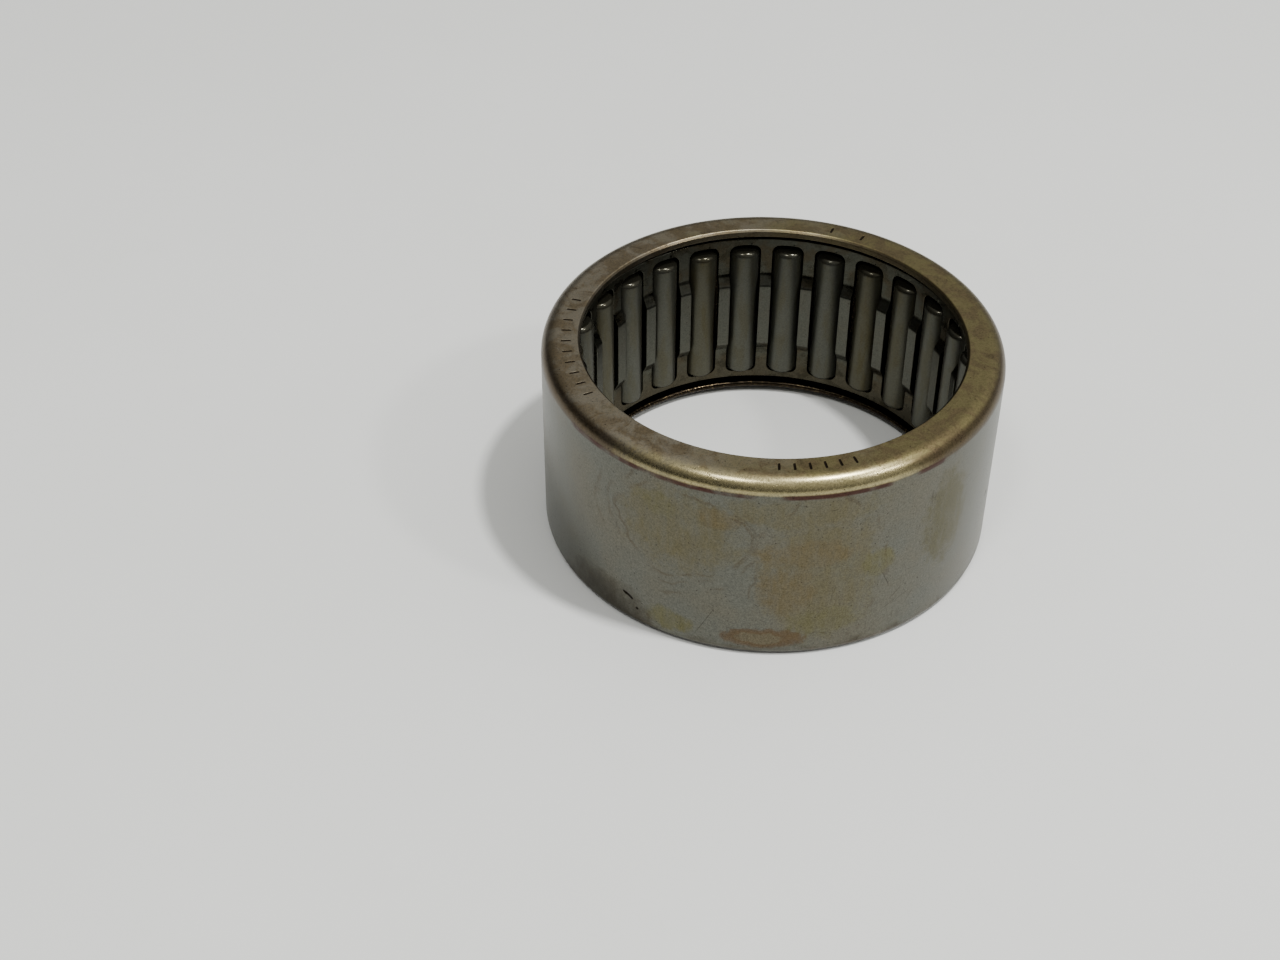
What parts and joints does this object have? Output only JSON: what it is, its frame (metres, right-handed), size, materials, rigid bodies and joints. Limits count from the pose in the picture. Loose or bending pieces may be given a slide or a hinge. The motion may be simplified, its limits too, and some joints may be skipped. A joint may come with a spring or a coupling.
{
  "type": "needle roller bearing",
  "caption": "Drawn-cup needle roller bearing: thin steel cup with turned-in lips, a formed steel cage and long slim rollers that a shaft runs on directly.",
  "frame": {"origin": "centre of the bearing on the plane its curled end rests on", "axes": "+Z along the bearing axis, from the curled end towards the stamped lip"},
  "size_m": [0.054, 0.054, 0.0254],
  "materials": {
    "cup_steel": "drawn steel, satin, heat and oil stained",
    "cage_steel": "pressed sheet steel, oiled",
    "needle_steel": "ground bearing steel, oiled"
  },
  "bodies": {
    "cup": {"cup": "cup_steel"},
    "cage": {"cage": "cage_steel"},
    "needle_01": {"needle_01": "needle_steel"},
    "needle_02": {"needle_02": "needle_steel"},
    "needle_03": {"needle_03": "needle_steel"},
    "needle_04": {"needle_04": "needle_steel"},
    "needle_05": {"needle_05": "needle_steel"},
    "needle_06": {"needle_06": "needle_steel"},
    "needle_07": {"needle_07": "needle_steel"},
    "needle_08": {"needle_08": "needle_steel"},
    "needle_09": {"needle_09": "needle_steel"},
    "needle_10": {"needle_10": "needle_steel"},
    "needle_11": {"needle_11": "needle_steel"},
    "needle_12": {"needle_12": "needle_steel"},
    "needle_13": {"needle_13": "needle_steel"},
    "needle_14": {"needle_14": "needle_steel"},
    "needle_15": {"needle_15": "needle_steel"},
    "needle_16": {"needle_16": "needle_steel"},
    "needle_17": {"needle_17": "needle_steel"},
    "needle_18": {"needle_18": "needle_steel"},
    "needle_19": {"needle_19": "needle_steel"},
    "needle_20": {"needle_20": "needle_steel"},
    "needle_21": {"needle_21": "needle_steel"},
    "needle_22": {"needle_22": "needle_steel"},
    "needle_23": {"needle_23": "needle_steel"},
    "needle_24": {"needle_24": "needle_steel"},
    "needle_25": {"needle_25": "needle_steel"},
    "needle_26": {"needle_26": "needle_steel"},
    "needle_27": {"needle_27": "needle_steel"}
  },
  "joints": [
    {"name": "cage_spin", "type": "hinge", "parent": "cup", "child": "cage", "pos_m": [0, 0, 0.01295], "axis": [0, 0, 1], "continuous": true},
    {"name": "needle_01_spin", "type": "hinge", "parent": "cage", "child": "needle_01", "pos_m": [-0.02357, 0.00552, 0.01266], "axis": [0, 0, 1], "continuous": true},
    {"name": "needle_02_spin", "type": "hinge", "parent": "cage", "child": "needle_02", "pos_m": [-0.02166, 0.01081, 0.01266], "axis": [0, 0, 1], "continuous": true},
    {"name": "needle_03_spin", "type": "hinge", "parent": "cage", "child": "needle_03", "pos_m": [-0.01859, 0.01551, 0.01266], "axis": [0, 0, 1], "continuous": true},
    {"name": "needle_04_spin", "type": "hinge", "parent": "cage", "child": "needle_04", "pos_m": [-0.01451, 0.01938, 0.01266], "axis": [0, 0, 1], "continuous": true},
    {"name": "needle_05_spin", "type": "hinge", "parent": "cage", "child": "needle_05", "pos_m": [-0.00965, 0.0222, 0.01266], "axis": [0, 0, 1], "continuous": true},
    {"name": "needle_06_spin", "type": "hinge", "parent": "cage", "child": "needle_06", "pos_m": [-0.00427, 0.02383, 0.01266], "axis": [0, 0, 1], "continuous": true},
    {"name": "needle_07_spin", "type": "hinge", "parent": "cage", "child": "needle_07", "pos_m": [0.00134, 0.02417, 0.01266], "axis": [0, 0, 1], "continuous": true},
    {"name": "needle_08_spin", "type": "hinge", "parent": "cage", "child": "needle_08", "pos_m": [0.00688, 0.02321, 0.01266], "axis": [0, 0, 1], "continuous": true},
    {"name": "needle_09_spin", "type": "hinge", "parent": "cage", "child": "needle_09", "pos_m": [0.01205, 0.021, 0.01266], "axis": [0, 0, 1], "continuous": true},
    {"name": "needle_10_spin", "type": "hinge", "parent": "cage", "child": "needle_10", "pos_m": [0.01657, 0.01765, 0.01266], "axis": [0, 0, 1], "continuous": true},
    {"name": "needle_11_spin", "type": "hinge", "parent": "cage", "child": "needle_11", "pos_m": [0.02019, 0.01336, 0.01266], "axis": [0, 0, 1], "continuous": true},
    {"name": "needle_12_spin", "type": "hinge", "parent": "cage", "child": "needle_12", "pos_m": [0.02273, 0.00834, 0.01266], "axis": [0, 0, 1], "continuous": true},
    {"name": "needle_13_spin", "type": "hinge", "parent": "cage", "child": "needle_13", "pos_m": [0.02404, 0.00287, 0.01266], "axis": [0, 0, 1], "continuous": true},
    {"name": "needle_14_spin", "type": "hinge", "parent": "cage", "child": "needle_14", "pos_m": [0.02405, -0.00275, 0.01266], "axis": [0, 0, 1], "continuous": true},
    {"name": "needle_15_spin", "type": "hinge", "parent": "cage", "child": "needle_15", "pos_m": [0.02277, -0.00822, 0.01266], "axis": [0, 0, 1], "continuous": true},
    {"name": "needle_16_spin", "type": "hinge", "parent": "cage", "child": "needle_16", "pos_m": [0.02026, -0.01325, 0.01266], "axis": [0, 0, 1], "continuous": true},
    {"name": "needle_17_spin", "type": "hinge", "parent": "cage", "child": "needle_17", "pos_m": [0.01666, -0.01757, 0.01266], "axis": [0, 0, 1], "continuous": true},
    {"name": "needle_18_spin", "type": "hinge", "parent": "cage", "child": "needle_18", "pos_m": [0.01216, -0.02093, 0.01266], "axis": [0, 0, 1], "continuous": true},
    {"name": "needle_19_spin", "type": "hinge", "parent": "cage", "child": "needle_19", "pos_m": [0.007, -0.02317, 0.01266], "axis": [0, 0, 1], "continuous": true},
    {"name": "needle_20_spin", "type": "hinge", "parent": "cage", "child": "needle_20", "pos_m": [0.00147, -0.02416, 0.01266], "axis": [0, 0, 1], "continuous": true},
    {"name": "needle_21_spin", "type": "hinge", "parent": "cage", "child": "needle_21", "pos_m": [-0.00414, -0.02385, 0.01266], "axis": [0, 0, 1], "continuous": true},
    {"name": "needle_22_spin", "type": "hinge", "parent": "cage", "child": "needle_22", "pos_m": [-0.00953, -0.02225, 0.01266], "axis": [0, 0, 1], "continuous": true},
    {"name": "needle_23_spin", "type": "hinge", "parent": "cage", "child": "needle_23", "pos_m": [-0.01441, -0.01946, 0.01266], "axis": [0, 0, 1], "continuous": true},
    {"name": "needle_24_spin", "type": "hinge", "parent": "cage", "child": "needle_24", "pos_m": [-0.0185, -0.01561, 0.01266], "axis": [0, 0, 1], "continuous": true},
    {"name": "needle_25_spin", "type": "hinge", "parent": "cage", "child": "needle_25", "pos_m": [-0.02161, -0.01092, 0.01266], "axis": [0, 0, 1], "continuous": true},
    {"name": "needle_26_spin", "type": "hinge", "parent": "cage", "child": "needle_26", "pos_m": [-0.02354, -0.00564, 0.01266], "axis": [0, 0, 1], "continuous": true},
    {"name": "needle_27_spin", "type": "hinge", "parent": "cage", "child": "needle_27", "pos_m": [-0.02421, -0.00006, 0.01266], "axis": [0, 0, 1], "continuous": true}
  ],
  "couplings": [
    {"joint": "needle_01_spin", "follows": "cage_spin", "ratio": -13.2},
    {"joint": "needle_02_spin", "follows": "cage_spin", "ratio": -13.2},
    {"joint": "needle_03_spin", "follows": "cage_spin", "ratio": -13.2},
    {"joint": "needle_04_spin", "follows": "cage_spin", "ratio": -13.2},
    {"joint": "needle_05_spin", "follows": "cage_spin", "ratio": -13.2},
    {"joint": "needle_06_spin", "follows": "cage_spin", "ratio": -13.2},
    {"joint": "needle_07_spin", "follows": "cage_spin", "ratio": -13.2},
    {"joint": "needle_08_spin", "follows": "cage_spin", "ratio": -13.2},
    {"joint": "needle_09_spin", "follows": "cage_spin", "ratio": -13.2},
    {"joint": "needle_10_spin", "follows": "cage_spin", "ratio": -13.2},
    {"joint": "needle_11_spin", "follows": "cage_spin", "ratio": -13.2},
    {"joint": "needle_12_spin", "follows": "cage_spin", "ratio": -13.2},
    {"joint": "needle_13_spin", "follows": "cage_spin", "ratio": -13.2},
    {"joint": "needle_14_spin", "follows": "cage_spin", "ratio": -13.2},
    {"joint": "needle_15_spin", "follows": "cage_spin", "ratio": -13.2},
    {"joint": "needle_16_spin", "follows": "cage_spin", "ratio": -13.2},
    {"joint": "needle_17_spin", "follows": "cage_spin", "ratio": -13.2},
    {"joint": "needle_18_spin", "follows": "cage_spin", "ratio": -13.2},
    {"joint": "needle_19_spin", "follows": "cage_spin", "ratio": -13.2},
    {"joint": "needle_20_spin", "follows": "cage_spin", "ratio": -13.2},
    {"joint": "needle_21_spin", "follows": "cage_spin", "ratio": -13.2},
    {"joint": "needle_22_spin", "follows": "cage_spin", "ratio": -13.2},
    {"joint": "needle_23_spin", "follows": "cage_spin", "ratio": -13.2},
    {"joint": "needle_24_spin", "follows": "cage_spin", "ratio": -13.2},
    {"joint": "needle_25_spin", "follows": "cage_spin", "ratio": -13.2},
    {"joint": "needle_26_spin", "follows": "cage_spin", "ratio": -13.2},
    {"joint": "needle_27_spin", "follows": "cage_spin", "ratio": -13.2}
  ]
}
